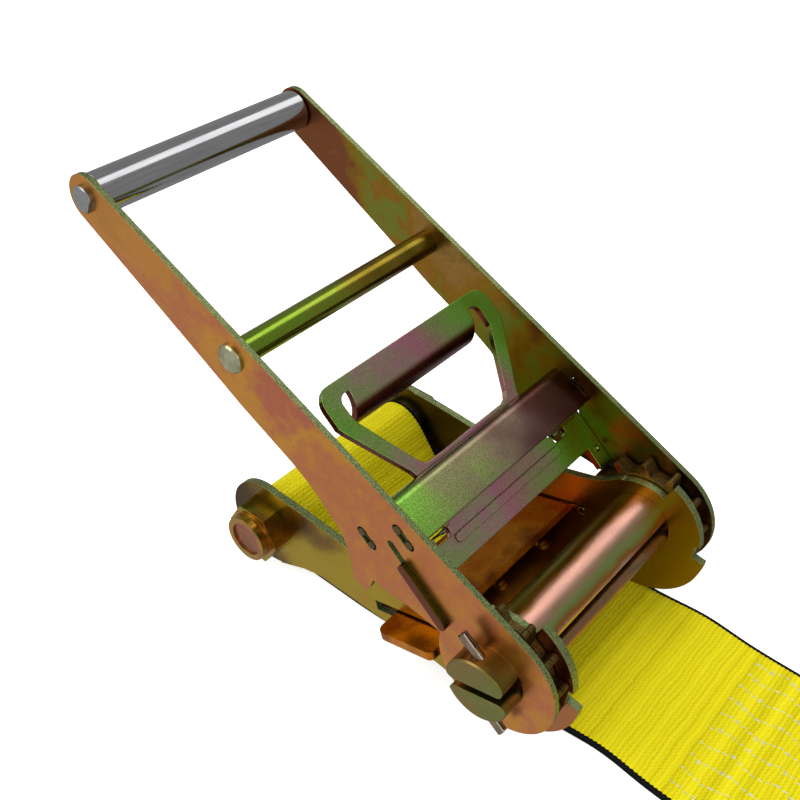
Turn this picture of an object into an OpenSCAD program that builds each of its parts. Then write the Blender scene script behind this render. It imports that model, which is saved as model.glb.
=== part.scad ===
// Ratchet tie down: a wide-handle ratchet buckle for 102 mm webbing, with its short
// fixed strap and flat hook. X runs along the frame, Y along the spindle, Z is up.
// The origin lies on the ground, straight under the spindle's axis.

/* [Frame] */
// Height of the spindle axis above the ground
axis_h = 48; // [47.9:0.1:52]
// Half of the clear width between the two frame plates
frame_half = 54; // [53.5:0.5:54]
// Thickness of a frame plate
frame_t = 4; // [3:0.5:4]
// Distance from the spindle axis back to the anchor bolt
anchor_x = 154; // [150:1:158]
// Depth of the anchor bolt below the spindle axis
anchor_drop = 22.5; // [22:0.5:23]
// Radius of the anchor bolt
bolt_r = 9.5; // [8:0.5:10]

/* [Spindle] */
// Radius of the split spindle
spindle_r = 16.5; // [15.5:0.5:16.5]
// Radial running clearance of the spindle in its bores
run_gap = 0.08; // [0.04:0.01:0.1]
// Width of the slot between the two spindle halves
slot_w = 4.2; // [3:0.2:5]
// Overall length of the spindle
spindle_len = 166; // [164:1:168]
// Number of ratchet teeth
teeth = 12; // [12:1:12]
// Radius over the tooth tips
tip_r = 31.5; // [31:0.1:31.6]
// Radius at the tooth roots
root_r = 25.2; // [24:0.2:26]
// Thickness of one of the two stamped plates in a ratchet wheel
wheel_t = 3.8; // [3:0.1:3.8]

/* [Handle] */
// Half of the clear width between the two handle plates
handle_half = 68; // [68:0.5:69]
// Thickness of a handle plate
handle_t = 3; // [2.5:0.5:3]
// Tilt of the handle above the frame
handle_tilt = 25.5; // [25:0.1:26]
// Distance from the spindle axis to the grip
grip_x = 286; // [270:1:300]
// Radius of the grip roller
grip_r = 10.7; // [9.5:0.1:11.2]
// Distance from the spindle axis to the cross bar
bar_x = 180.5; // [175:0.5:186]
// Radius of the cross bar
bar_r = 6.7; // [6:0.1:7.5]

/* [Pawls] */
// Thickness of the handle pawl
pawl_t = 3.4; // [3.2:0.1:3.5]
// Thickness of the lock plate
lock_t = 4.5; // [4:0.1:4.6]

/* [Webbing] */
// Width of the webbing
web_w = 102; // [100:0.5:102]
// Thickness of one layer of webbing
web_t = 2.3; // [2:0.1:2.3]
// Distance from the spindle axis to the strap's loop in the flat hook
hook_x = 240; // [220:5:260]

/* [Hidden] */
$fn = 64;

far = 1;
near = -1;
eps = 0.01;
cut = 1;

// Frame
bore_r = spindle_r + run_gap;
anchor_c = [-anchor_x, -anchor_drop];
anchor_end_r = 25;
working_r = 23.5;      // cam sector over which the pawl works
raised_r = 33.5;       // cam sector that holds the pawl off
stop_notch_r = 31;
heel_c = [-1, -5];
heel_r = 38.2;
working_from = 66;     // degrees, where the cam steps up
raised_from = 5;
heel_from = -9;
nut_af = 29.5;
nut_hex_h = 11;
nut_h = 16;
sleeve_r = 13.2;
base_t = 3;
base_slope = 8.5;
base_tail_x = -80;

// Wheels
wheel_gap = 0.5;
wheel_inner_y = frame_half + frame_t + wheel_gap;
wheel_outer_y = wheel_inner_y + wheel_t + 0.4;
first_tooth = 15;      // degrees, the steep side of one tooth
slot_turn = 16.5;      // degrees, the spindle slot's tilt at rest
corner_r = 3.5;        // rolled corners of the spindle halves, along the slot
tip_round = 1.8;       // round at a tooth's tip
pin_r = 2.4;

// Handle
grip_z = 15.5;
bar_z = 16;
end_r = 12.3;
axle_r = 6;
tenon_r = 5;
sheet_t = 3.2;
tenon_tilt = -11;
channel_back_x = -86;
bend_r = 6;
handle_out = handle_half + handle_t;
// Place in the side view and length of the tenons that hold the channel
TENONS = [[-80.4, -1.4, 11.4], [-68.1, 20.9, 12.8]];

// Handle pawl, in its own slope: x runs towards the spindle, z is the plate's normal
pawl_slope = 14.3;
pawl_top = -5.8;
pawl_tip = 31.25;
pawl_heel = 43.2;
pawl_back = 60.8;
ear_y = 74.2;
ear_t = 4.6;           // the ears are upset outside the handle plates
ear_front = 26.4;
leg_y = frame_half + frame_t + 0.4;
leg_out_y = wheel_outer_y + wheel_t + 0.4;
neck_y = 39;
grip_s = 144;
grip_y = 60.5;
curl_r = 15;
curl_end = 7;

// Lock plate, in its own slope
lock_slope = 17;
lock_top = -1.86;
lock_tip = 31.8;
lock_heel = 41.9;
lock_back = 67.8;
tab_y = 73.6;
tab_front = 33.6;

// Webbing
web_bottom = -axis_h;
web_top = web_bottom + 2 * web_t;
web_shift = 7;

// ---------- helpers ----------

module at_axis() { translate([0, 0, axis_h]) children(); }

module in_handle() { at_axis() rotate([0, handle_tilt, 0]) children(); }

module on_pawl() { in_handle() rotate([0, pawl_slope, 0]) children(); }

module on_lock() { at_axis() rotate([0, -lock_slope, 0]) children(); }

// Extrudes a side view (x to the right, z up) from y0 over a thickness t
module side_view(y0, t) {
    translate([0, y0 + t, 0]) rotate([90, 0, 0]) linear_extrude(t) children();
}

// The same between y0 and y0 + t on the far side, mirrored for the near side
module on_side(side, y0, t) {
    if (side == far) side_view(y0, t) children();
    else mirror([0, 1, 0]) side_view(y0, t) children();
}

module both_sides() {
    children();
    mirror([0, 1, 0]) children();
}

module wedge(from, to, r) {
    mid = (from + to) / 2;
    polygon([[0, 0], r * [cos(from), sin(from)], 1.4 * r * [cos(mid), sin(mid)],
        r * [cos(to), sin(to)]]);
}

module sector(r, from, to) {
    intersection() {
        circle(r, $fn = 96);
        wedge(from, to, 2 * r);
    }
}

// Rounded slot of the given length and width, centred
module stadium(length, width) {
    square([length - width, width], center = true);
    for (s = [-1, 1]) translate([s * (length - width) / 2, 0]) circle(width / 2, $fn = 24);
}

// Points on a quarter circle, anticlockwise from the angle "from"
function corner(centre, r, from) =
    [for (a = [from:15:from + 90]) centre + r * [cos(a), sin(a)]];

// A round wire swept along a helix round the X axis
module coil(length, r, wire, turns) {
    sides = 6;
    steps = 12;
    rings = turns * steps;
    pitch = (length - wire) / turns;
    points = [for (i = [0:rings], j = [0:sides - 1])
        let (a = 360 * i / steps, b = 360 * j / sides, q = r + wire / 2 * cos(b))
        [wire / 2 + pitch * i / steps + wire / 2 * sin(b), q * cos(a), q * sin(a)]];
    walls = [for (i = [0:rings - 1], j = [0:sides - 1])
        let (k = (j + 1) % sides)
        [i * sides + j, (i + 1) * sides + j, (i + 1) * sides + k, i * sides + k]];
    first = [[for (j = [0:sides - 1]) j]];
    last = [[for (j = [sides - 1:-1:0]) rings * sides + j]];
    polyhedron(points, concat(walls, first, last), convexity = 8);
}

// ---------- frame ----------

module frame_outline() {
    difference() {
        union() {
            translate(anchor_c) circle(anchor_end_r, $fn = 96);
            polygon([[-152, -36], [-145, -46.6], [-137, -43], [-128, -38.8], [-116, -35.4],
                [-74, -35.2], [-12, -42.1], [-6, -38], [0, -38], [0, 18], [-14, 20], [-23, 13],
                [-31, 8.8], [-46, 4.2], [-75, 0.4], [-100, -0.6], [-129, 1.2], [-146.5, 1.9],
                [-152, -10]]);
            circle(working_r, $fn = 96);
            sector(raised_r, raised_from, working_from);
            sector(stop_notch_r, heel_from - 15, raised_from + 2);
            intersection() {
                translate(heel_c) circle(heel_r, $fn = 128);
                wedge(-159, heel_from, 80);
            }
        }
        circle(bore_r, $fn = 96);
        translate(anchor_c) circle(bolt_r, $fn = 64);
        // slot in which the lock plate slides
        rotate(lock_slope) translate([-57.7, lock_top - lock_t / 2 + 0.45])
            square([49, lock_t + 1.7], center = true);
        for (x = [-58, -26]) base_slope_at() translate([x, 0]) square([10, base_t], center = true);
    }
}

// Places a side view on the base plate's middle plane
module base_slope_at() {
    translate([-44, -36.4]) rotate(-base_slope) translate([44, 0]) children();
}

module frame_side(side) { at_axis() on_side(side, frame_half, frame_t) frame_outline(); }

module frame_side_near() { color("darkgoldenrod") frame_side(near); }

module frame_side_far() { color("darkgoldenrod") frame_side(far); }

module base_plate() {
    color("olive") at_axis() difference() {
        union() {
            side_view(-frame_half, 2 * frame_half) base_slope_at() {
                translate([(base_tail_x - 14) / 2, 0])
                    square([-14 - base_tail_x, base_t], center = true);
                translate([base_tail_x + base_t / 2, 4.5]) square([base_t, 12], center = true);
            }
            both_sides() side_view(frame_half - cut, frame_t + cut) base_slope_at()
                for (x = [-58, -26]) translate([x, 0]) square([10, base_t], center = true);
            // three pressed studs
            for (y = [-38, 0, 38]) translate([-43.5, y, -36.4 + base_t / 2 - 1.6])
                intersection() {
                    sphere(4.6, $fn = 32);
                    translate([-6, -6, 0]) cube([12, 12, 6]);
                }
        }
        // hollows under the studs
        for (y = [-38, 0, 38]) translate([-43.5, y, -36.4 - base_t / 2 - 2.4]) sphere(3.4, $fn = 32);
    }
}

module along_bolt(y0, length, r, sides = 64) {
    translate([-anchor_x, y0 + length, axis_h - anchor_drop]) rotate([90, 0, 0])
        cylinder(h = length, r = r, $fn = sides);
}

module anchor_bolt() {
    shank_end = frame_half + frame_t + nut_h - 1.2;
    color("tan") {
        along_bolt(-shank_end, shank_end + frame_half + frame_t, bolt_r);
        along_bolt(frame_half + frame_t, 11.5, 27 / sqrt(3), 6);
    }
}

module anchor_sleeve() {
    color("silver") difference() {
        along_bolt(-frame_half + 0.2, 2 * frame_half - 0.4, sleeve_r);
        along_bolt(-frame_half, 2 * frame_half, bolt_r);
    }
}

module anchor_nut() {
    y_face = -frame_half - frame_t;
    color("olive") difference() {
        union() {
            along_bolt(y_face - nut_hex_h, nut_hex_h, nut_af / sqrt(3), 6);
            along_bolt(y_face - nut_h, nut_h - nut_hex_h + cut, nut_af / 2 - 1.9);
        }
        along_bolt(y_face - nut_h - cut, nut_h + 2 * cut, bolt_r);
        along_bolt(y_face - nut_h + 1, 2.5, bolt_r + 1.8);
    }
}

module nut_insert() {
    color("rosybrown") difference() {
        along_bolt(-frame_half - frame_t - nut_h + 1, 2.5, bolt_r + 1.8);
        along_bolt(-frame_half - frame_t - nut_h, 5, bolt_r);
    }
}

// ---------- lock plate ----------

module lock_half() {
    front_r = 3;
    back_r = 4.5;
    polygon(concat(
        [[-lock_heel, -1], [-lock_heel, frame_half - 0.7], [-36.2, frame_half - 0.7],
            [-36.2, leg_y], [-lock_tip, leg_y], [-lock_tip, leg_out_y], [-tab_front, leg_out_y]],
        corner([-tab_front - front_r, tab_y - front_r], front_r, 0),
        corner([-lock_back + back_r, tab_y - back_r], back_r, 90),
        [[-lock_back, frame_half - 0.7], [-64, frame_half - 0.7], [-64, -1]]));
}

module lock_plate() {
    color("darkorange") on_lock() translate([0, 0, lock_top - lock_t]) both_sides()
        linear_extrude(lock_t) lock_half();
}

module both_sides_flat() {
    children();
    mirror([0, 1]) children();
}

module lock_springs() {
    color("dimgray") on_lock() for (y = [-24, 24])
        translate([-79.7, y, lock_top - 1.9]) coil(15.5, 1.9, 1, 7);
}

// ---------- webbing and hook ----------

module loop_outer() {
    translate(anchor_c) circle(sleeve_r + 0.3 + web_t, $fn = 96);
    polygon([[-156, -38.3], [-148, -42], [-136, web_bottom], [-112, web_bottom], [-112, web_top],
        [-122, -38], [-141.8, -12.4], [-145.6, -9.1]]);
}

module loop_inner() {
    translate(anchor_c) circle(sleeve_r + 0.3, $fn = 96);
    polygon([[-154, -36], [-147, -39.8], [-135, web_bottom + web_t], [-119, web_bottom + web_t],
        [-123.6, -40], [-143.6, -14.2], [-147, -11.3]]);
}

// Plan of the doubled strap from the loop to the hook, with its sideways jog
module strap_plan() {
    polygon([[-112.1, -web_w / 2], [-100, -web_w / 2], [12, -web_w / 2 + web_shift],
        [hook_x - 40, -web_w / 2 + web_shift], [hook_x - 40, web_w / 2 + web_shift],
        [12, web_w / 2 + web_shift], [-100, web_w / 2], [-112.1, web_w / 2]]);
}

// Side view of the strap's end, opened round the flat hook's bar
module strap_end() {
    bar_t = 4.5;
    difference() {
        union() {
            polygon([[hook_x - 40.1, web_bottom], [hook_x, web_bottom],
                [hook_x, web_bottom + 2 * web_t + bar_t], [hook_x - 16, web_bottom + 2 * web_t + bar_t],
                [hook_x - 40.1, web_top]]);
            translate([hook_x, web_bottom + web_t + bar_t / 2])
                circle(web_t + bar_t / 2, $fn = 48);
        }
        polygon([[hook_x - 34, web_bottom + web_t], [hook_x, web_bottom + web_t],
            [hook_x, web_bottom + web_t + bar_t], [hook_x - 14, web_bottom + web_t + bar_t]]);
        translate([hook_x, web_bottom + web_t + bar_t / 2]) circle(bar_t / 2, $fn = 48);
    }
}

module webbing() {
    color("gold") at_axis() {
        side_view(-web_w / 2, web_w) difference() {
            loop_outer();
            loop_inner();
        }
        translate([0, 0, web_bottom]) linear_extrude(2 * web_t) strap_plan();
        translate([0, web_shift, 0]) side_view(-web_w / 2, web_w) strap_end();
    }
}

module flat_hook() {
    plate_t = 4.1;
    bar = 13;
    slot = 9;
    plate = 52;
    mouth_r = 13;
    half_w = 59;
    color("darkgoldenrod") translate([0, web_shift, web_t + 0.2]) {
        difference() {
            translate([hook_x - bar, -half_w, 0]) cube([plate, 2 * half_w, plate_t]);
            translate([hook_x + 0.3, -web_w / 2 - 1, -cut]) cube([slot, web_w + 2, plate_t + 2 * cut]);
        }
        // the plate's end rolled up and over into the hook's mouth
        translate([hook_x + plate - bar, 0, plate_t + mouth_r]) rotate([90, 0, 0])
            translate([0, 0, -half_w + 12]) intersection() {
                difference() {
                    cylinder(h = 2 * half_w - 24, r = mouth_r + plate_t, $fn = 96);
                    translate([0, 0, -cut])
                        cylinder(h = 2 * half_w, r = mouth_r, $fn = 96);
                }
                translate([0, -40, -cut]) cube([40, 80, 2 * half_w]);
            }
        translate([hook_x + plate - bar - 14, -half_w + 12, plate_t + 2 * mouth_r])
            cube([14, 2 * half_w - 24, plate_t]);
    }
}

// ---------- handle ----------

module handle_outline() {
    difference() {
        union() {
            translate([-grip_x, grip_z - 0.5]) circle(end_r, $fn = 64);
            circle(29.4, $fn = 96);
            translate([1.5, 1.2]) circle(31, $fn = 96);
            polygon([[-grip_x, grip_z - 0.5 - end_r], [-200, -2.7], [-166, -5.1], [-130, -5.7],
                [-118, -6.8], [-104, -10.4], [-91, -15], [-84, -20], [-78, -27.6],
                [-73.6, -33.6], [-69.4, -32.8], [-65.4, -33.6], [-64.8, -29], [-65.8, -22.2],
                [-50.5, -16.1], [-39.4, -11.7], [-27, -8], [0, 0], [0, 32.2],
                [-grip_x, grip_z - 0.5 + end_r]]);
        }
        circle(bore_r, $fn = 96);
        translate([-grip_x, grip_z]) circle(axle_r, $fn = 48);
        translate([-bar_x, bar_z]) circle(tenon_r, $fn = 48);
        for (p = TENONS) translate([p[0], p[1]]) rotate(tenon_tilt) stadium(p[2] + 1.6, sheet_t + 2);
        rotate(-pawl_slope) translate([-49.7, pawl_top - pawl_t / 2]) stadium(46, pawl_t + 0.6);
    }
}

module handle_side(side) { in_handle() on_side(side, handle_half, handle_t) handle_outline(); }

module handle_side_near() { color("peru") handle_side(near); }

module handle_side_far() { color("peru") handle_side(far); }

// Side view of the bent channel: top flange, rolled bend, back web and bottom flange
module channel_section() {
    bend_z = 14.6;
    front = channel_back_x + bend_r;
    difference() {
        union() {
            translate([front, bend_z]) circle(bend_r, $fn = 48);
            polygon([[channel_back_x, -2.9], [-74, -1.9], [-74, 1.3], [front, bend_z],
                [-60.8, 19], [-61, 22.2], [front, bend_z + bend_r], [front, bend_z],
                [channel_back_x, bend_z]]);
        }
        translate([front, bend_z]) circle(bend_r - sheet_t, $fn = 48);
        polygon([[channel_back_x + sheet_t, 0.4], [-60, 2.6], [-60, 19.07],
            [front, bend_z + bend_r - sheet_t], [front, bend_z],
            [channel_back_x + sheet_t, bend_z]]);
    }
}

// A tenon staked over the handle plate: two swelled ends and a notch between them
module tenon(p) {
    difference() {
        side_view(handle_half - cut, handle_t + cut + 0.3) translate([p[0], p[1]]) rotate(tenon_tilt) {
            square([p[2] - 4, sheet_t], center = true);
            for (s = [-1, 1]) translate([s * (p[2] / 2 - 2.3), 0]) circle(2.3, $fn = 24);
        }
        side_view(handle_out - 1.2, 3) translate([p[0], p[1]]) rotate(tenon_tilt)
            square([p[2] / 3, 6], center = true);
    }
}

module handle_channel() {
    color("yellowgreen") in_handle() {
        difference() {
            side_view(-handle_half, 2 * handle_half) channel_section();
            // window through which the pawl's pull passes
            translate([channel_back_x - 3, -neck_y - 2, 7.6]) cube([9, 2 * neck_y + 4, 9.6]);
            // cut-back corners of the top flange
            both_sides() translate([-60, handle_half, 10]) rotate([0, 0, 45]) cube([7, 7, 20], center = true);
        }
        both_sides() for (p = TENONS) tenon(p);
    }
}

module across_handle(x, z, y0, length, r, sides = 48) {
    translate([x, y0 + length, z]) rotate([90, 0, 0]) cylinder(h = length, r = r, $fn = sides);
}

module rivet_head(x, z, r, h, chamfer) {
    translate([x, -handle_out, z]) rotate([90, 0, 0]) {
        cylinder(h = h - chamfer, r = r, $fn = 48);
        translate([0, 0, h - chamfer]) cylinder(h = chamfer, r1 = r, r2 = r - chamfer, $fn = 48);
    }
}

module cross_bar() {
    color("darkkhaki") in_handle() {
        across_handle(-bar_x, bar_z, -handle_half, 2 * handle_half, bar_r);
        across_handle(-bar_x, bar_z, -handle_out, 2 * handle_out, tenon_r);
        both_sides() rivet_head(-bar_x, bar_z, 7.4, 2.2, 1);
    }
}

module grip_axle() {
    color("silver") in_handle() {
        across_handle(-grip_x, grip_z, -handle_out, 2 * handle_out, axle_r);
        both_sides() difference() {
            rivet_head(-grip_x, grip_z, 6.9, 2.6, 0.6);
            translate([-grip_x + 5.4, -handle_out - 6, grip_z - 10]) cube([5, 6, 20]);
        }
    }
}

module grip_roller() {
    roll_half = handle_half - 0.5;
    edge = 0.8;
    color("gainsboro") in_handle() difference() {
        union() {
            across_handle(-grip_x, grip_z, -roll_half + edge, 2 * (roll_half - edge), grip_r, 96);
            both_sides() translate([-grip_x, -roll_half + edge, grip_z]) rotate([90, 0, 0])
                cylinder(h = edge, r1 = grip_r, r2 = grip_r - edge, $fn = 96);
        }
        across_handle(-grip_x, grip_z, -handle_half, 2 * handle_half, axle_r + run_gap);
    }
}

// ---------- handle pawl ----------

module pawl_half() {
    loop_r = 9;
    polygon(concat(
        [[-pawl_heel, 0], [-pawl_heel, leg_y], [-pawl_tip, leg_y], [-pawl_tip, leg_out_y],
            [-30.4, leg_out_y], [-30.4, ear_y - 1], [-60, ear_y - 1], [-60, handle_half - 1.4],
            [-pawl_back, handle_half - 1.4], [-pawl_back, 52.2], [-57.4, 52.2], [-56.2, 51], [-56.2, 43],
            [-57.4, 41.8], [-pawl_back, 41.8], [-pawl_back, neck_y + 1], [-62.5, neck_y], [-85, neck_y],
            [-90, 40.5], [-122, grip_y - 1.4], [-125, grip_y]],
        corner([-grip_s + loop_r, grip_y - loop_r], loop_r, 90),
        [[-grip_s, 0]]));
}

module pull_gap_half() {
    inner_r = 4.4;
    bar_s = grip_s - curl_end;
    polygon(concat(
        [[-89, 0], [-89, 29], [-90, 32], [-93, 34.4], [-124, 50.6]],
        corner([-bar_s + inner_r, 51 - inner_r], inner_r, 90),
        [[-bar_s, 0]]));
}

module pawl_plate() {
    bend_x = -grip_s + curl_end;
    color("olivedrab") on_pawl() {
        translate([0, 0, pawl_top - pawl_t]) linear_extrude(pawl_t) difference() {
            both_sides_flat() pawl_half();
            both_sides_flat() pull_gap_half();
        }
        // finger grip, curled down from the loop's outer bar
        intersection() {
            translate([bend_x, 0, pawl_top - curl_r]) rotate([90, 0, 0]) difference() {
                cylinder(h = 88, r = curl_r, center = true, $fn = 96);
                cylinder(h = 90, r = curl_r - pawl_t, center = true, $fn = 96);
            }
            translate([bend_x - 1.2, -50, pawl_top - curl_r - 1]) cube([40, 100, 40]);
        }
        // ears, upset outside the handle plates
        both_sides() side_view(handle_out + 0.3, ear_y - handle_out - 0.3)
            translate([-(ear_front + 61.2) / 2, pawl_top - pawl_t / 2]) stadium(61.2 - ear_front, ear_t);
        // pressed stiffening rib and the two dimples
        translate([-53.4, 0, pawl_top - eps]) linear_extrude(1.1) rotate(90) stadium(84, 4.6);
        for (s = [-1, 1]) translate([-40.5, s * 64, pawl_top]) sphere(1.6, $fn = 24);
    }
}

module pawl_springs() {
    color("silver") on_pawl() for (y = [-47, 47])
        translate([-83.3, y, pawl_top - pawl_t / 2]) coil(25.1, 3.9, 1.2, 8);
}

// ---------- spindle ----------

module along_spindle(y0, length, r, sides = 96) {
    translate([0, y0 + length, 0]) rotate([90, 0, 0]) cylinder(h = length, r = r, $fn = sides);
}

module spindle_bar() {
    edge = 0.8;
    along_spindle(-spindle_len / 2 + edge, spindle_len - 2 * edge, spindle_r);
    both_sides() translate([0, -spindle_len / 2 + edge, 0]) rotate([90, 0, 0])
        cylinder(h = edge, r1 = spindle_r, r2 = spindle_r - edge, $fn = 96);
}

// Section of one spindle half: a half-moon with its corners rolled over beside the slot
module half_round() {
    flat = slot_w / 2;
    middle_r = spindle_r - corner_r;
    c = [sqrt(middle_r * middle_r - (flat + corner_r) * (flat + corner_r)), flat + corner_r];
    touch = c * spindle_r / middle_r;
    intersection() {
        circle(spindle_r, $fn = 96);
        translate([-spindle_r - 1, touch[1] - 0.3]) square([2 * spindle_r + 2, spindle_r]);
    }
    polygon([[-c[0], flat], [c[0], flat], c, 0.98 * touch, [-0.98 * touch[0], 0.98 * touch[1]],
        [-c[0], c[1]]]);
    for (s = [-1, 1]) translate([s * c[0], c[1]]) circle(corner_r - 0.02, $fn = 48);
}

module upper_half() {
    difference() {
        intersection() {
            spindle_bar();
            side_view(-100, 200) rotate(slot_turn) half_round();
        }
        split_pin_at(pin_r, cut);
    }
}

// The line of a pin through the upper half: it starts at the pin's outer end
module on_pin() {
    translate([-13.1, -77.3, 22.8]) rotate([0, 127, 0]) children();
}

module split_pin_at(r, extra) {
    both_sides() on_pin() translate([0, 0, -extra]) cylinder(h = 18 + extra, r = r, $fn = 32);
}

module spindle_upper() { color("tan") at_axis() upper_half(); }

module spindle_lower() { color("tan") at_axis() rotate([0, 180, 0]) upper_half(); }

module split_pins() {
    color("darkkhaki") at_axis() for (turn = [0, 180]) rotate([0, turn, 0]) difference() {
        split_pin_at(pin_r, 0);
        // the slit along the pin's outer end
        both_sides() on_pin() translate([-4, -0.4, -1]) cube([8, 0.8, 9]);
    }
}

module tooth() {
    function at(r, a) = r * [cos(a), sin(a)];
    tip = at(tip_r - tip_round, -3.2);
    polygon(concat(
        [at(root_r - 2, -16), at(tip_r - 4, -9.4)],
        [for (a = [-80:20:80]) tip + at(tip_round, a - 3.2)],
        [at(root_r - 2, 0.5)]));
}

module wheel_outline() {
    difference() {
        union() {
            circle(root_r, $fn = 96);
            for (k = [0:teeth - 1]) rotate(first_tooth + 360 / teeth * k) tooth();
        }
        // two half-moon holes that key the wheel to the spindle halves
        for (turn = [0, 180]) rotate(slot_turn + turn) half_round();
    }
}

module wheel_plate(side, y0) { color("goldenrod") at_axis() on_side(side, y0, wheel_t) wheel_outline(); }

module wheel_near_inner() { wheel_plate(near, wheel_inner_y); }

module wheel_near_outer() { wheel_plate(near, wheel_outer_y); }

module wheel_far_inner() { wheel_plate(far, wheel_inner_y); }

module wheel_far_outer() { wheel_plate(far, wheel_outer_y); }

frame_side_near();
frame_side_far();
base_plate();
anchor_bolt();
anchor_sleeve();
anchor_nut();
nut_insert();
lock_plate();
lock_springs();
webbing();
flat_hook();
handle_side_near();
handle_side_far();
handle_channel();
cross_bar();
grip_axle();
grip_roller();
pawl_plate();
pawl_springs();
spindle_upper();
spindle_lower();
wheel_near_inner();
wheel_near_outer();
wheel_far_inner();
wheel_far_outer();
split_pins();
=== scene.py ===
"""Looks of the ratchet tie down: studio, camera, plated metal, woven strap and its stitching."""
import math
import random

import bpy
from mathutils import Matrix, Vector


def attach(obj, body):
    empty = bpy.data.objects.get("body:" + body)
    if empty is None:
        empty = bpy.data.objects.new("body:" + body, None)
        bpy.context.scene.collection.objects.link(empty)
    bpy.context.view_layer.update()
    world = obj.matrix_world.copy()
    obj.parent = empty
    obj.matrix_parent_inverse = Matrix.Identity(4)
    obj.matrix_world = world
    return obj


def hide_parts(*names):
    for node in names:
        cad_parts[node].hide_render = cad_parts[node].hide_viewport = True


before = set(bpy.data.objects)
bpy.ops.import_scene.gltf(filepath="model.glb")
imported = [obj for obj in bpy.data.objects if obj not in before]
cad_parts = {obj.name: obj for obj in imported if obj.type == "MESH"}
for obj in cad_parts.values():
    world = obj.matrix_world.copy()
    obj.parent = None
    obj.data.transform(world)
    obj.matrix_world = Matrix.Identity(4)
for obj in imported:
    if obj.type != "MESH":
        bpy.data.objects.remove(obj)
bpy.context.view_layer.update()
scene = bpy.context.scene

AXIS_H = 0.048          # height of the spindle axis
ANCHOR_X = -0.154       # anchor bolt
ANCHOR_Z = AXIS_H - 0.0225
SLEEVE_R = 0.0132
WEB_HALF = 0.051
WEB_T = 0.0022
LAYER = 0.0023          # pitch of the two layers
HOOK_X = 0.240          # where the strap turns round the hook
SLIDE = 0.007           # how far the strap lies towards +Y, beyond the buckle
RIB = 0.0022            # pitch of the cloth's ribs
THREAD = 0.0011         # pitch of its threads
SELVAGE = 0.0013        # width of its black edges
SEWN = (0.0765, 0.184)  # the sewn stretch of the strap
STITCH_ROWS = 10
ROW_PITCH = 0.0096
STITCH_PITCH = 0.0036

# where each part's bare or riveted ends begin, from the middle
SPINDLE_END = 0.0712
PAWL_EAR = 0.0712
CHANNEL_TENON = 0.0685
BAR_RIVET = 0.0711

SOFT_EDGE = 0.00045     # radius that the plate's edges seem to have


# ---------------------------------------------------------------- camera and light

def look_at(position, target, roll=0.0):
    forward = (Vector(target) - Vector(position)).normalized()
    right = forward.cross(Vector((0, 0, 1))).normalized()
    up = right.cross(forward)
    c, s = math.cos(roll), math.sin(roll)
    turned_right = right * c + up * s
    turned_up = up * c - right * s
    m = Matrix((turned_right, turned_up, -forward)).transposed().to_4x4()
    m.translation = Vector(position)
    return m


cam_data = bpy.data.cameras.new("camera")
cam_data.lens = 47.5
cam_data.sensor_width = 36
cam_data.clip_start = 0.02
camera = bpy.data.objects.new("camera", cam_data)
scene.collection.objects.link(camera)
camera.matrix_world = look_at((0.1427, -0.3172, 0.4293), (-0.1147, 0.0, 0.0958), math.radians(2.2))
scene.camera = camera


def softbox(name, position, target, size, power, height=None):
    data = bpy.data.lights.new(name, "AREA")
    data.shape = "RECTANGLE"
    data.size = size
    data.size_y = height or size
    data.energy = power
    obj = bpy.data.objects.new(name, data)
    scene.collection.objects.link(obj)
    obj.matrix_world = look_at(position, target)
    return obj


strip = softbox("strip", (-0.17, 0.46, 0.66), (-0.05, 0, 0.05), 0.34, 0.95, height=0.62)
strip.visible_camera = False
tent = softbox("tent", (-0.1, 0.1, 1.3), (-0.05, 0, 0.05), 1.2, 11.0)
tent.visible_glossy = False
softbox("front", (-0.75, -0.85, 0.75), (-0.1, 0, 0.05), 0.8, 5.0)
softbox("side", (0.95, -0.35, 0.8), (-0.05, 0, 0.05), 0.6, 2.5)


def studio_world():
    """Soft surroundings, lighter towards the front and overhead, so that the metal has form."""
    world = bpy.data.worlds.new("studio")
    world.use_nodes = True
    tree = world.node_tree
    coords = tree.nodes.new("ShaderNodeTexCoord")
    parts = tree.nodes.new("ShaderNodeSeparateXYZ")
    tree.links.new(coords.outputs["Generated"], parts.inputs[0])
    shades = []
    for axis, stops in (("Y", [(-0.75, 0.58), (-0.25, 0.40), (0.15, 0.07)]),
                        ("Z", [(0.5, 0.02), (0.95, 0.25)])):
        fit = tree.nodes.new("ShaderNodeMath")
        fit.operation = "MULTIPLY_ADD"
        fit.inputs[1].default_value = 0.5
        fit.inputs[2].default_value = 0.5
        tree.links.new(parts.outputs[axis], fit.inputs[0])
        ramp = tree.nodes.new("ShaderNodeValToRGB")
        ramp.color_ramp.interpolation = "EASE"
        elements = ramp.color_ramp.elements
        while len(elements) > 1:
            elements.remove(elements[-1])
        for k, (where, level) in enumerate(stops):
            stop = elements[0] if k == 0 else elements.new(0.5)
            stop.position = 0.5 + 0.5 * where
            stop.color = (level, level, level, 1)
        tree.links.new(fit.outputs[0], ramp.inputs["Fac"])
        shades.append(ramp.outputs["Color"])
    total = tree.nodes.new("ShaderNodeMix")
    total.data_type = "RGBA"
    total.blend_type = "ADD"
    total.inputs[0].default_value = 1.0
    tree.links.new(shades[0], total.inputs[6])
    tree.links.new(shades[1], total.inputs[7])
    tree.links.new(total.outputs[2], tree.nodes["Background"].inputs["Color"])
    return world


scene.world = studio_world()
scene.view_settings.view_transform = "Standard"


# ---------------------------------------------------------------- shader helpers

def srgb(r, g, b):
    def lin(c):
        c /= 255.0
        return c / 12.92 if c <= 0.04045 else ((c + 0.055) / 1.055) ** 2.4
    return (lin(r), lin(g), lin(b), 1.0)


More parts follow.
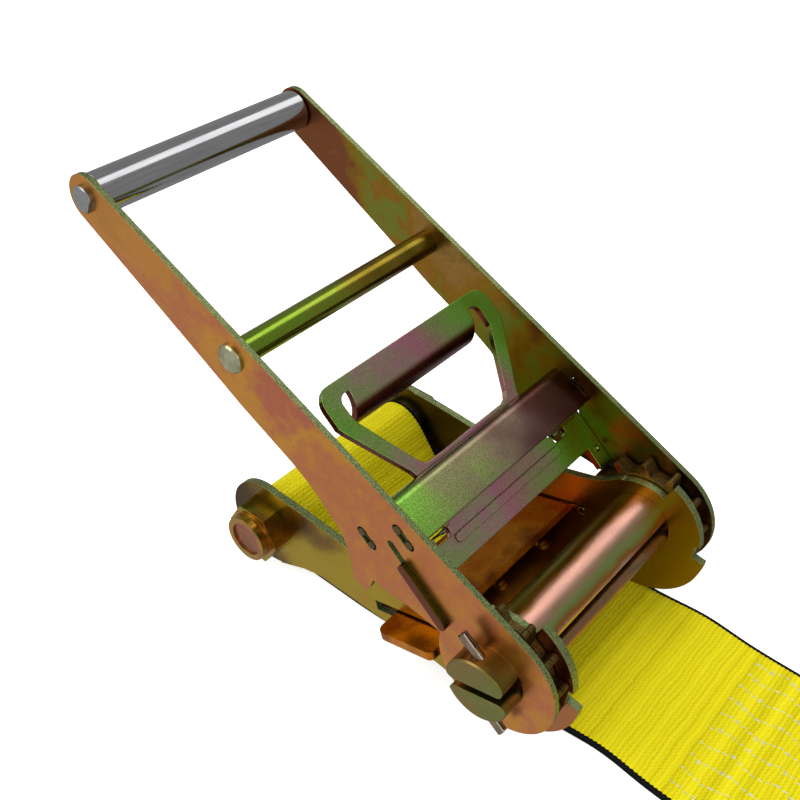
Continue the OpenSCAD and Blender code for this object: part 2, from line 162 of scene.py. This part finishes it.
class Shader:
    """One material's node tree, with short calls for the nodes used here."""

    def __init__(self, name):
        self.material = bpy.data.materials.new(name)
        self.material.use_nodes = True
        self.tree = self.material.node_tree
        self.tree.nodes.clear()
        self.out = self.tree.nodes.new("ShaderNodeOutputMaterial")

    def put(self, socket, value):
        if isinstance(value, bpy.types.NodeSocket):
            self.tree.links.new(value, socket)
        else:
            socket.default_value = value

    def node(self, kind, inputs=None, **props):
        n = self.tree.nodes.new(kind)
        for k, v in props.items():
            setattr(n, k, v)
        for k, v in (inputs or {}).items():
            self.put(n.inputs[k], v)
        return n

    def math(self, op, a, b=0.0, third=0.0, clamp=False):
        return self.node("ShaderNodeMath", {0: a, 1: b, 2: third}, operation=op,
                         use_clamp=clamp).outputs[0]

    def noise(self, vector, scale, detail=3.0, rough=0.55, distortion=0.0):
        n = self.node("ShaderNodeTexNoise", {"Vector": vector, "Scale": scale, "Detail": detail,
                                             "Roughness": rough, "Distortion": distortion})
        return n.outputs["Fac"]

    def ramp(self, fac, stops):
        n = self.node("ShaderNodeValToRGB", {"Fac": fac})
        elements = n.color_ramp.elements
        while len(elements) > 1:
            elements.remove(elements[-1])
        elements[0].position, elements[0].color = stops[0]
        for position, colour in stops[1:]:
            elements.new(position).color = colour
        return n.outputs["Color"]

    def mix(self, fac, a, b, blend="MIX"):
        n = self.node("ShaderNodeMix", data_type="RGBA", blend_type=blend)
        self.put(n.inputs[0], fac)
        self.put(n.inputs[6], a)
        self.put(n.inputs[7], b)
        return n.outputs[2]

    def finish(self, surface):
        self.tree.links.new(surface, self.out.inputs["Surface"])
        return self.material


def plated(name, hues, size=16.0, seed=0.0, rough=0.34, grain=0.12, cut_edge=None, axis="Y",
           slope=(0, 0, 0), start=0.5, drift=1.2, wear=0.25, flecks=0.15, ends=None,
           painted_underside_reflection=None, bevel_r=SOFT_EDGE):
    """Yellow zinc plate: its hue drifts over the surface, by place and by a broad noise.
    On the channel the drift by place also paints a dark reflection towards the far end.

    cut_edge tints the sheared faces, ends the part beyond a distance from the middle, and the
    underside colour is a painted dark reflection on the faces that stand upright or look down."""
    s = Shader(name)
    coords = s.node("ShaderNodeTexCoord")
    place = s.node("ShaderNodeMapping", {"Vector": coords.outputs["Object"],
                                         "Location": (seed, seed * 0.7, -seed)}).outputs[0]
    broad = s.noise(place, size, 2.0, 0.5, 0.6)
    crystal = s.noise(place, 1800.0, 4.0, 0.75)
    speck = s.noise(place, 2600.0, 2.0, 0.6)
    smear = s.noise(place, 90.0, 4.0, 0.65)
    where = s.node("ShaderNodeVectorMath", {0: coords.outputs["Object"], 1: slope},
                   operation="DOT_PRODUCT").outputs["Value"]
    fac = s.math("MULTIPLY_ADD", s.math("SUBTRACT", broad, 0.5), 2.0 * drift, third=start)
    fac = s.math("ADD", fac, where)
    fac = s.math("MULTIPLY_ADD", s.math("SUBTRACT", smear, 0.5), 0.5 * drift, third=fac)
    fac = s.math("MULTIPLY_ADD", s.math("SUBTRACT", crystal, 0.5), grain, third=fac)
    n = len(hues) - 1
    colour = s.ramp(fac, [(i / n, srgb(*h)) for i, h in enumerate(hues)])
    dull = s.ramp(crystal, [(0.40, (0.30, 0.28, 0.26, 1)), (0.57, (1.0, 1.0, 1.0, 1))])
    colour = s.mix(wear, colour, dull, "MULTIPLY")
    roughness = s.math("MULTIPLY_ADD", s.math("SUBTRACT", smear, 0.5), 0.25, third=rough)
    if cut_edge:
        facing = s.node("ShaderNodeSeparateXYZ", {"Vector": coords.outputs["Normal"]})
        on_edge = s.math("LESS_THAN", s.math("ABSOLUTE", facing.outputs[axis]), 0.6)
        pale = s.ramp(speck, [(0.40, srgb(*[0.42 * c for c in cut_edge])),
                              (0.60, srgb(*cut_edge))])
        colour = s.mix(on_edge, colour, pale)
        roughness = s.math("MULTIPLY_ADD", on_edge, 0.15, third=roughness)
    if ends:
        limit, tip = ends
        across = s.node("ShaderNodeSeparateXYZ", {"Vector": coords.outputs["Object"]}).outputs["Y"]
        past = s.math("GREATER_THAN", s.math("ABSOLUTE", across), limit)
        colour = s.mix(past, colour, s.ramp(smear, [(0.3, srgb(*[0.6 * c for c in tip])),
                                                    (0.7, srgb(*tip))]))
        roughness = s.math("MULTIPLY_ADD", past, -0.1, third=roughness)
    # painted dark reddish reflection on faces that stand upright or look down, such as the
    # underside of the pawl's curl
    if painted_underside_reflection:
        normal_up = s.node("ShaderNodeSeparateXYZ", {"Vector": coords.outputs["Normal"]}).outputs["Z"]
        painted_reflection_mask = s.node("ShaderNodeMapRange", {"Value": normal_up, "From Min": 0.42, "From Max": 0.22})
        colour = s.mix(painted_reflection_mask.outputs[0], colour, srgb(*painted_underside_reflection))
    bevel = s.node("ShaderNodeBevel", {"Radius": bevel_r}, samples=4)
    bump = s.node("ShaderNodeBump", {"Strength": flecks, "Distance": 0.0002, "Height": crystal,
                                     "Normal": bevel.outputs[0]})
    bsdf = s.node("ShaderNodeBsdfPrincipled", {"Base Color": colour, "Metallic": 1.0,
                                               "Roughness": roughness, "Normal": bump.outputs[0]})
    return s.finish(bsdf.outputs[0])


def spindle_plated(name):
    """Plate banded along the spindle by the angle round its axis: partly the plate's own hue,
    partly painted highlight and reflection on the upper side and painted shade underneath.
    """
    s = Shader(name)
    coords = s.node("ShaderNodeTexCoord")
    parts = s.node("ShaderNodeSeparateXYZ", {"Vector": coords.outputs["Object"]})
    height = s.math("SUBTRACT", parts.outputs["Z"], AXIS_H)
    turn = s.math("ARCTAN2", height, parts.outputs["X"])
    ends = s.noise(coords.outputs["Object"], 30.0, 3.0, 0.6, 0.5)
    smear = s.noise(s.node("ShaderNodeMapping", {"Vector": coords.outputs["Object"],
                                                 "Scale": (1, 0.15, 1)}).outputs[0],
                    260.0, 3.0, 0.6)
    crystal = s.noise(coords.outputs["Object"], 1500.0, 4.0, 0.75)
    fac = s.math("MULTIPLY_ADD", turn, 0.5 / math.pi, third=0.5)
    fac = s.math("MULTIPLY_ADD", s.math("SUBTRACT", ends, 0.5), 0.10, third=fac)
    fac = s.math("MULTIPLY_ADD", s.math("SUBTRACT", smear, 0.5), 0.03, third=fac)
    # colour by angle round the axis: the plate's own pink and green hues, with painted highlights
    # and reflections on the upper and side angles and painted shade underneath (-180 to -60
    # degrees)
    hue_and_light_bands = ((-180, (110, 90, 30)), (-120, (150, 110, 60)), (-60, (120, 120, 50)),
             (-10, (190, 132, 96)), (6, (150, 122, 86)), (20, (216, 176, 130)),
             (30, (226, 180, 160)), (44, (176, 110, 44)), (56, (150, 176, 100)),
             (68, (190, 160, 120)), (80, (214, 160, 144)), (94, (216, 162, 140)),
             (108, (150, 96, 20)), (122, (140, 124, 16)), (142, (104, 84, 10)),
             (180, (110, 90, 30)))
    colour = s.ramp(fac, [((a + 180) / 360, srgb(*c)) for a, c in hue_and_light_bands])
    on_end = s.math("GREATER_THAN", s.math("ABSOLUTE", parts.outputs["Y"]), SPINDLE_END)
    patches = s.math("MULTIPLY_ADD", s.math("SUBTRACT", ends, 0.5), 1.8, third=0.5)
    mottled = s.ramp(patches,
                     [(0.1, srgb(140, 98, 70)), (0.4, srgb(126, 112, 56)),
                      (0.6, srgb(112, 116, 54)),
                      (0.9, srgb(150, 126, 66))])
    colour = s.mix(on_end, colour, mottled)
    dull = s.ramp(crystal, [(0.36, (0.45, 0.43, 0.40, 1)), (0.58, (1.0, 1.0, 1.0, 1))])
    colour = s.mix(0.25, colour, dull, "MULTIPLY")
    bevel = s.node("ShaderNodeBevel", {"Radius": SOFT_EDGE}, samples=4)
    bump = s.node("ShaderNodeBump", {"Strength": 0.12, "Distance": 0.0002, "Height": crystal,
                                     "Normal": bevel.outputs[0]})
    roughness = s.math("MULTIPLY_ADD", s.math("SUBTRACT", smear, 0.5), 0.3, third=0.33)
    bsdf = s.node("ShaderNodeBsdfPrincipled", {"Base Color": colour, "Metallic": 1.0,
                                               "Roughness": roughness, "Normal": bump.outputs[0]})
    return s.finish(bsdf.outputs[0])


def bright_metal(name, colour, rough=0.2, brushed=0.0, streak=(1, 1, 1), shade=0.8):
    """Plain bright steel or chrome, with fine scratches round or along it."""
    s = Shader(name)
    coords = s.node("ShaderNodeTexCoord")
    stretched = s.node("ShaderNodeMapping", {"Vector": coords.outputs["Object"],
                                             "Scale": streak}).outputs[0]
    lines = s.noise(stretched, 900.0, 3.0, 0.6)
    cloud = s.noise(coords.outputs["Object"], 60.0, 3.0, 0.6)
    tint = s.ramp(lines, [(0.3, srgb(*[shade * c for c in colour])), (0.65, srgb(*colour))])
    roughness = s.math("ADD", s.math("MULTIPLY", s.math("SUBTRACT", cloud, 0.5), 0.2), rough)
    bevel = s.node("ShaderNodeBevel", {"Radius": 0.0004}, samples=4)
    bump = s.node("ShaderNodeBump", {"Strength": brushed, "Distance": 0.0002, "Height": lines,
                                     "Normal": bevel.outputs[0]})
    bsdf = s.node("ShaderNodeBsdfPrincipled", {"Base Color": tint, "Metallic": 1.0,
                                               "Roughness": roughness, "Normal": bump.outputs[0]})
    return s.finish(bsdf.outputs[0])


def plastic(name, colour, rough=0.45):
    s = Shader(name)
    coords = s.node("ShaderNodeTexCoord")
    mottled = s.noise(coords.outputs["Object"], 350.0)
    tint = s.ramp(mottled, [(0.35, srgb(*[0.8 * c for c in colour])), (0.65, srgb(*colour))])
    bump = s.node("ShaderNodeBump", {"Strength": 0.1, "Distance": 0.0003, "Height": mottled})
    bsdf = s.node("ShaderNodeBsdfPrincipled", {"Base Color": tint, "Roughness": rough,
                                               "Normal": bump.outputs[0]})
    return s.finish(bsdf.outputs[0])


def woven(name):
    """Ribbed polyester webbing, from the cloth's own coordinates: across x, along y."""
    s = Shader(name)
    cloth = s.node("ShaderNodeAttribute", attribute_name="cloth")
    part = s.node("ShaderNodeSeparateXYZ", {"Vector": cloth.outputs["Vector"]})
    across, along = part.outputs["X"], part.outputs["Y"]
    wobble = s.noise(cloth.outputs["Vector"], 60.0, 2.0)
    zigzag = s.math("PINGPONG", across, THREAD)
    drifted = s.math("MULTIPLY_ADD", wobble, 0.0030, third=along)
    drifted = s.math("MULTIPLY_ADD", zigzag, 0.55, third=drifted)
    rib = s.math("SINE", s.math("MULTIPLY", drifted, 2 * math.pi / RIB))
    fuzz = s.noise(cloth.outputs["Vector"], 1400.0, 2.0, 0.7)
    thread = s.math("SINE", s.math("MULTIPLY", across, 2 * math.pi / THREAD))
    broad = s.node("ShaderNodeTexNoise", {"W": s.math("MULTIPLY", drifted, 150.0), "Scale": 1.0,
                                          "Detail": 2.0, "Roughness": 0.6},
                   noise_dimensions="1D").outputs["Fac"]
    rib01 = s.math("ADD", s.math("MULTIPLY", rib, 0.5), 0.5)
    weave = s.math("ADD", s.math("MULTIPLY", rib01, 0.7), s.math("MULTIPLY", thread, 0.15))
    height = s.math("ADD", weave, s.math("MULTIPLY", broad, 1.6))
    shade = s.math("MULTIPLY_ADD", weave, 0.32, third=s.math("MULTIPLY", broad, 0.7))
    shade = s.math("MULTIPLY_ADD", s.math("SUBTRACT", fuzz, 0.5), 0.9, third=shade, clamp=True)
    yellow = s.ramp(shade, [(0.1, srgb(176, 160, 6)), (0.45, srgb(214, 201, 16)),
                            (0.85, srgb(232, 219, 36))])
    scallop = s.math("MULTIPLY_ADD", rib, 0.0002, third=WEB_HALF - SELVAGE)
    far_wider = s.math("ADD", across, 0.0005)
    edge = s.math("GREATER_THAN", s.math("ABSOLUTE", far_wider), scallop)
    colour = s.mix(edge, yellow, srgb(9, 9, 10))
    bump = s.node("ShaderNodeBump", {"Strength": 0.42, "Distance": 0.0004, "Height": height})
    bsdf = s.node("ShaderNodeBsdfPrincipled", {"Base Color": colour, "Roughness": 0.75,
                                               "Normal": bump.outputs[0]})
    bsdf.inputs["Specular IOR Level"].default_value = 0.08
    return s.finish(bsdf.outputs[0])


def floor_material():
    s = Shader("floor_paper")
    coords = s.node("ShaderNodeTexCoord")
    faint = s.noise(coords.outputs["Object"], 3.0)
    tint = s.ramp(faint, [(0.3, (0.90, 0.90, 0.90, 1)), (0.7, (0.93, 0.93, 0.93, 1))])
    bsdf = s.node("ShaderNodeBsdfPrincipled", {"Base Color": tint, "Roughness": 0.9})
    bsdf.inputs["Emission Color"].default_value = (1, 1, 1, 1)
    bsdf.inputs["Emission Strength"].default_value = 0.62
    return s.finish(bsdf.outputs[0])


# ---------------------------------------------------------------- finishes

SHEARED = (176, 192, 128)
# wheel teeth and rims: the cut-edge tint darkened as painted shade, for teeth that lie in shadow
SHADED_TOOTH_EDGE = (132, 108, 58)

FINISHES = {
    "frame_side": plated("frame_plated",
                         [(64, 44, 4), (84, 60, 8), (128, 98, 20), (166, 140, 26),
                          (170, 144, 26), (174, 128, 44), (172, 108, 62)], 13, 1.3,
                         cut_edge=SHEARED, slope=(6.0, 0, 0), start=1.12, drift=0.7),
    "frame_far": plated("frame_far_plated",
                        [(58, 42, 6), (84, 68, 12), (104, 86, 18), (118, 98, 22),
                         (160, 110, 30), (164, 122, 30), (158, 126, 28)], 13, 1.3,
                        cut_edge=SHEARED, slope=(6.0, 0, 0), start=1.0, drift=0.6),
    "handle_near": plated("handle_near_plated",
                          [(166, 140, 24), (186, 126, 46), (200, 134, 56), (192, 116, 72),
                           (206, 144, 50), (186, 106, 76)], 11, 2.1, cut_edge=SHEARED, start=0.5),
    "handle_far": plated("handle_far_plated",
                         [(120, 70, 40), (134, 104, 22), (112, 122, 46), (140, 98, 22),
                          (146, 112, 56), (104, 84, 12), (96, 60, 16)], 13, 2.9, cut_edge=SHEARED,
                         slope=(2.2, 0, 0), start=0.75),
    "base": plated("base_plated",
                   [(110, 66, 12), (134, 84, 14), (126, 70, 26), (96, 70, 14)], 20, 3.7),
    # channel: green at the near end through pink to dark purple-brown at the far (+Y) end; the hue
    # drift is the plate's own, the dark far end is a painted dark reflection
    "channel": plated("channel_plated",
                      [(140, 206, 78), (150, 186, 88), (160, 140, 116), (118, 86, 80), (84, 50, 40),
                       (62, 38, 20)], 24, 4.4, rough=0.2, grain=0.8, wear=0.7,
                      slope=(0, 6.0, 0), start=0.46, drift=0.4, flecks=0.3,
                      ends=(CHANNEL_TENON, (96, 84, 40)), bevel_r=0.0007),
    # pawl: its own green and pink hue drift; its upright and downward faces take a painted dark
    # reddish reflection
    "pawl": plated("pawl_plated",
                   [(142, 220, 78), (160, 214, 96), (206, 176, 160), (224, 140, 164),
                    (186, 172, 130), (142, 206, 78), (124, 168, 48)], 18, 5.2,
                   rough=0.26, grain=0.8, wear=0.6,
                   slope=(0, 6.5, 0), start=0.5, drift=0.42, flecks=0.25,
                   ends=(PAWL_EAR, (84, 94, 34)), painted_underside_reflection=(104, 48, 34), bevel_r=0.0008),
    "lock": plated("lock_plated",
                   [(110, 52, 6), (180, 92, 8), (200, 124, 22), (130, 66, 8)], 26, 6.1,
                   rough=0.26, flecks=0.05),
    "spindle": spindle_plated("spindle_plated"),
    "wheel": plated("wheel_plated", [(150, 104, 34), (172, 112, 60), (150, 120, 60), (110, 70, 20)],
                    40, 8.0, cut_edge=SHADED_TOOTH_EDGE),
    "bar": plated("bar_plated", [(136, 180, 56), (150, 168, 56), (150, 128, 42), (120, 104, 28),
                                 (84, 92, 20)], 26, 9.0, rough=0.2, slope=(0, 5.0, 0), start=0.42,
                  drift=0.5, ends=(BAR_RIVET, (176, 176, 140))),
    "nut": plated("nut_plated",
                  [(124, 100, 22), (174, 120, 46), (150, 142, 46), (98, 84, 10)], 45, 10.0,
                  rough=0.24, flecks=0.06),
    "bolt": plated("bolt_plated", [(150, 82, 70), (164, 100, 78), (130, 90, 50)], 45, 11.0),
    "pin": plated("pin_plated", [(150, 140, 122), (120, 108, 92), (160, 136, 120)], 60, 13.0,
                  rough=0.25),
    "hook": plated("hook_plated", [(150, 104, 44), (176, 116, 60), (140, 118, 34), (160, 100, 70)],
                   16, 12.0),
    "sleeve": bright_metal("sleeve_steel", (170, 168, 160), 0.35, 0.1, (1, 0.1, 1)),
    "chrome": bright_metal("roller_chrome", (190, 190, 192), 0.14, 0.02, (1, 0.04, 1), 0.9),
    "axle": bright_metal("axle_steel", (150, 152, 152), 0.3, 0.1),
    "wire": bright_metal("spring_wire", (160, 160, 160), 0.25),
    "nylon": plastic("nut_nylon", (160, 96, 82)),
}
NODE_FINISH = {
    "frame_side_near": "frame_side", "frame_side_far": "frame_far", "base_plate": "base",
    "anchor_bolt": "bolt", "anchor_sleeve": "sleeve", "anchor_nut": "nut", "nut_insert": "nylon",
    "lock_plate": "lock", "lock_springs": "wire", "flat_hook": "hook",
    "handle_side_near": "handle_near", "handle_side_far": "handle_far",
    "handle_channel": "channel", "cross_bar": "bar", "grip_axle": "axle", "grip_roller": "chrome",
    "pawl_plate": "pawl", "pawl_springs": "wire", "spindle_upper": "spindle",
    "spindle_lower": "spindle", "wheel_near_inner": "wheel", "wheel_near_outer": "wheel",
    "wheel_far_inner": "wheel", "wheel_far_outer": "wheel", "split_pins": "pin",
}
for node_name, finish in NODE_FINISH.items():
    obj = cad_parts[node_name]
    obj.data.materials.clear()
    obj.data.materials.append(FINISHES[finish])


# ---------------------------------------------------------------- webbing

def smoothstep(a, b, x):
    t = min(1.0, max(0.0, (x - a) / (b - a)))
    return t * t * (3 - 2 * t)


def arc(cx, cz, r, from_deg, to_deg, steps):
    out = []
    for i in range(steps + 1):
        a = math.radians(from_deg + (to_deg - from_deg) * i / steps)
        out.append((cx + r * math.cos(a), cz + r * math.sin(a)))
    return out


def resample(points, step):
    """Points at even spacing along a polyline."""
    lengths = [0.0]
    for p, q in zip(points, points[1:]):
        lengths.append(lengths[-1] + math.dist(p, q))
    count = max(2, round(lengths[-1] / step))
    out, i = [], 0
    for k in range(count + 1):
        d = lengths[-1] * k / count
        while i < len(points) - 2 and lengths[i + 1] < d:
            i += 1
        t = (d - lengths[i]) / max(1e-9, lengths[i + 1] - lengths[i])
        out.append((points[i][0] + (points[i + 1][0] - points[i][0]) * t,
                    points[i][1] + (points[i + 1][1] - points[i][1]) * t))
    return out, lengths[-1]


def softened(points, passes):
    """Rounds the corners of an evenly spaced polyline."""
    for _ in range(passes):
        points = [points[0]] + [
            ((a[0] + 2 * b[0] + c[0]) / 4, (a[1] + 2 * b[1] + c[1]) / 4)
            for a, b, c in zip(points, points[1:], points[2:])] + [points[-1]]
    return points


def strap_route():
    """Side view of the strap's middle line, from the sewn end over the sleeve to the hook."""
    low = WEB_T / 2
    high = low + LAYER
    r = SLEEVE_R + 0.0003 + WEB_T / 2
    upper = [(0.187, high), (-0.112, high), (-0.1215, AXIS_H - 0.0392),
             (-0.1414, AXIS_H - 0.0134)]
    around = arc(ANCHOR_X, ANCHOR_Z, r, 52, 262, 40)
    lower = [(-0.148, AXIS_H - 0.0407), (-0.1345, low), (HOOK_X - 0.030, low), (HOOK_X, low)]
    tip = arc(HOOK_X, low + 0.0034, 0.0034, -80, 90, 10)
    back = [(HOOK_X - 0.016, low + 0.0068), (HOOK_X - 0.040, high), (0.191, high)]
    return upper + around + lower + tip + back


def sideways(x):
    """How far the strap's middle has slid towards +Y at a place along it."""
    shift = SLIDE * smoothstep(-0.10, 0.015, x)
    shift += 0.0025 * math.exp(-((x - 0.045) / 0.02) ** 2)
    return shift


def build_strap():
    route, length = resample(strap_route(), 0.0030)
    route = softened(route, 2)
    across = 36
    verts, faces, cloth = [], [], []
    rows = len(route)
    run = 0.0
    for i, (x, z) in enumerate(route):
        if i:
            run += math.dist(route[i - 1], route[i])
        ahead = route[min(i + 1, rows - 1)]
        behind = route[max(i - 1, 0)]
        tangent = Vector((ahead[0] - behind[0], 0, ahead[1] - behind[1])).normalized()
        normal = Vector((-tangent.z, 0, tangent.x))
        for side in (-0.5, 0.5):
            for j in range(across + 1):
                u = -WEB_HALF + 2 * WEB_HALF * j / across
                slim = 1 - 0.12 * (abs(u) / WEB_HALF) ** 12
                p = Vector((x, u + sideways(x), z)) + normal * (side * WEB_T * slim)
                verts.append(p)
                cloth.append((u, run, 0.0))
    top = across + 1
    stride = 2 * top
    for i in range(rows - 1):
        a, b = i * stride, (i + 1) * stride
        for j in range(across):
            faces.append((a + j, b + j, b + j + 1, a + j + 1))
            faces.append((a + top + j, a + top + j + 1, b + top + j + 1, b + top + j))
        for j in (0, across):
            quad = (a + j, a + top + j, b + top + j, b + j)
            faces.append(quad if j == 0 else quad[::-1])
    for i in (0, rows - 1):
        a = i * stride
        for j in range(across):
            quad = (a + j, a + j + 1, a + top + j + 1, a + top + j)
            faces.append(quad if i == 0 else quad[::-1])
    mesh = bpy.data.meshes.new("strap")
    mesh.from_pydata([tuple(v) for v in verts], [], faces)
    layer = mesh.attributes.new("cloth", "FLOAT_VECTOR", "POINT")
    for i, c in enumerate(cloth):
        layer.data[i].vector = c
    for p in mesh.polygons:
        p.use_smooth = True
    mesh.update()
    obj = bpy.data.objects.new("strap", mesh)
    scene.collection.objects.link(obj)
    return obj, length


def thread(verts, faces, start, end, radius, lift):
    """One stitch: a short rounded thread whose ends dip into the cloth."""
    start, end = Vector(start), Vector(end)
    along = (end - start).normalized()
    side = Vector((0, 0, 1)).cross(along)
    stations = ((0.0, 0.3, -0.8), (0.15, 0.9, 0.4), (0.5, 1.0, 1.0),
                (0.85, 0.9, 0.4), (1.0, 0.3, -0.8))
    ring = 6
    first = len(verts)
    for t, size, rise in stations:
        c = start.lerp(end, t) + Vector((0, 0, lift * rise))
        for k in range(ring):
            a = 2 * math.pi * k / ring
            sideward = side * (radius * size * math.cos(a))
            upward = Vector((0, 0, radius * size * math.sin(a)))
            verts.append(c + sideward + upward)
    for n in range(len(stations) - 1):
        for k in range(ring):
            a = first + n * ring + k
            b = first + n * ring + (k + 1) % ring
            faces.append((a, b, b + ring, a + ring))
    faces.append(tuple(first + k for k in reversed(range(ring))))
    last = first + (len(stations) - 1) * ring
    faces.append(tuple(last + k for k in range(ring)))


def build_stitching():
    """Rows of short threads, a little wavy, on the strap's sewn stretch."""
    rng = random.Random(7)
    verts, faces = [], []
    top = 2 * LAYER
    first_row = -0.0435
    for r in range(STITCH_ROWS):
        x = SEWN[0] + 0.0015 * rng.random()
        while x < SEWN[1]:
            wander = 0.0012 * math.sin(x * 260 + r) + rng.uniform(-0.0003, 0.0003)
            size = 0.0028 + rng.uniform(-0.0003, 0.0003)
            y = first_row + r * ROW_PITCH + wander + sideways(x)
            for dy in (0.0, 0.0013 * math.sin(x * 90 + 1.7 * r)):
                if dy and rng.random() < 0.55:
                    continue
                skew = rng.uniform(-2, 2) * 1e-4
                thread(verts, faces, (x, y + dy, top), (x + size, y + dy + skew, top),
                       radius=0.0002, lift=0.00012)
            x += STITCH_PITCH
    mesh = bpy.data.meshes.new("stitching")
    mesh.from_pydata([tuple(v) for v in verts], [], faces)
    for p in mesh.polygons:
        p.use_smooth = True
    mesh.update()
    obj = bpy.data.objects.new("stitching", mesh)
    scene.collection.objects.link(obj)
    obj.data.materials.append(plastic("stitch_thread", (226, 224, 208), 0.6))
    return obj


strap, strap_length = build_strap()
strap.data.materials.append(woven("webbing_cloth"))
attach(strap, "frame")
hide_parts("webbing")
stitching = build_stitching()
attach(stitching, "frame")


# ---------------------------------------------------------------- floor

floor_mesh = bpy.data.meshes.new("floor")
floor_mesh.from_pydata([(-6, -6, 0), (6, -6, 0), (6, 6, 0), (-6, 6, 0)], [], [(0, 1, 2, 3)])
floor = bpy.data.objects.new("floor", floor_mesh)
scene.collection.objects.link(floor)
floor.location.z = -0.0002
floor.visible_glossy = False
floor_mesh.materials.append(floor_material())
